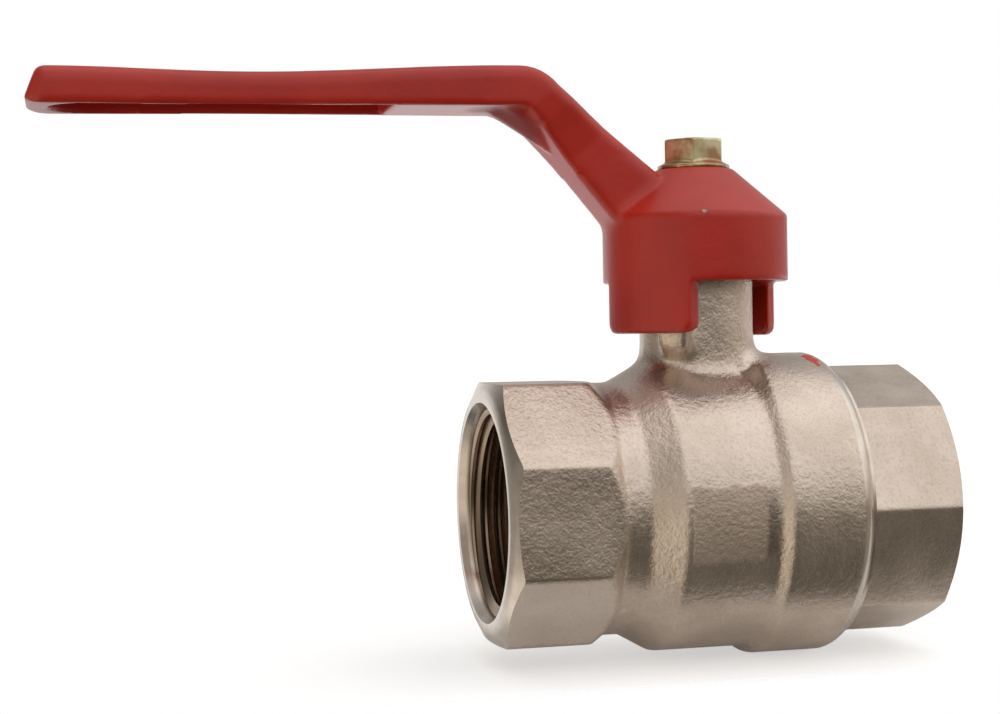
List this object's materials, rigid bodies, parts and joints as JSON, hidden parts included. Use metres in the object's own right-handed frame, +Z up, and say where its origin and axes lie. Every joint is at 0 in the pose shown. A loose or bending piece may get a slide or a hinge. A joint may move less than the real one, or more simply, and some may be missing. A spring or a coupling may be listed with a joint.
{
  "type": "ball valve",
  "caption": "Quarter-turn full-bore ball valve with a two-piece plated brass body, female threaded ends and a cranked lever that turns a slotted ball through a packed stem.",
  "frame": {"origin": "centre of the ball, where the pipe axis crosses the stem axis", "axes": "+X along the pipe towards the end adapter, +Z up along the stem to the lever nut; the open lever points to -X"},
  "size_m": [0.1438, 0.0494, 0.0954],
  "materials": {
    "nickel_plate": "satin nickel plate on shot-blasted forged brass",
    "chrome_ball": "polished chrome plate on brass",
    "white_ptfe": "waxy white PTFE",
    "bare_brass": "turned brass",
    "black_rubber": "smooth nitrile rubber",
    "red_paint": "glossy red epoxy paint on die-cast aluminium",
    "yellow_zinc": "yellow chromated zinc plate on steel"
  },
  "bodies": {
    "valve": {"valve_body": "nickel_plate", "end_adapter": "nickel_plate", "inlet_seat": "white_ptfe", "outlet_seat": "white_ptfe", "body_seal_ring": "white_ptfe", "thrust_washer": "white_ptfe", "lower_packing_ring": "white_ptfe", "middle_packing_ring": "white_ptfe", "upper_packing_ring": "white_ptfe", "gland_nut": "bare_brass"},
    "handle": {"lever": "red_paint", "lever_nut": "yellow_zinc", "stem": "bare_brass", "lower_stem_o_ring": "black_rubber", "upper_stem_o_ring": "black_rubber"},
    "ball": {"ball": "chrome_ball"}
  },
  "joints": [
    {"name": "lever_turn", "type": "hinge", "parent": "valve", "child": "handle", "pos_m": [0, 0, 0], "axis": [0, 0, 1], "range_deg": [-90, 0]},
    {"name": "ball_turn", "type": "hinge", "parent": "valve", "child": "ball", "pos_m": [0, 0, 0], "axis": [0, 0, 1], "range_deg": [-90, 0]}
  ],
  "couplings": [
    {"joint": "ball_turn", "follows": "lever_turn", "ratio": 1}
  ]
}
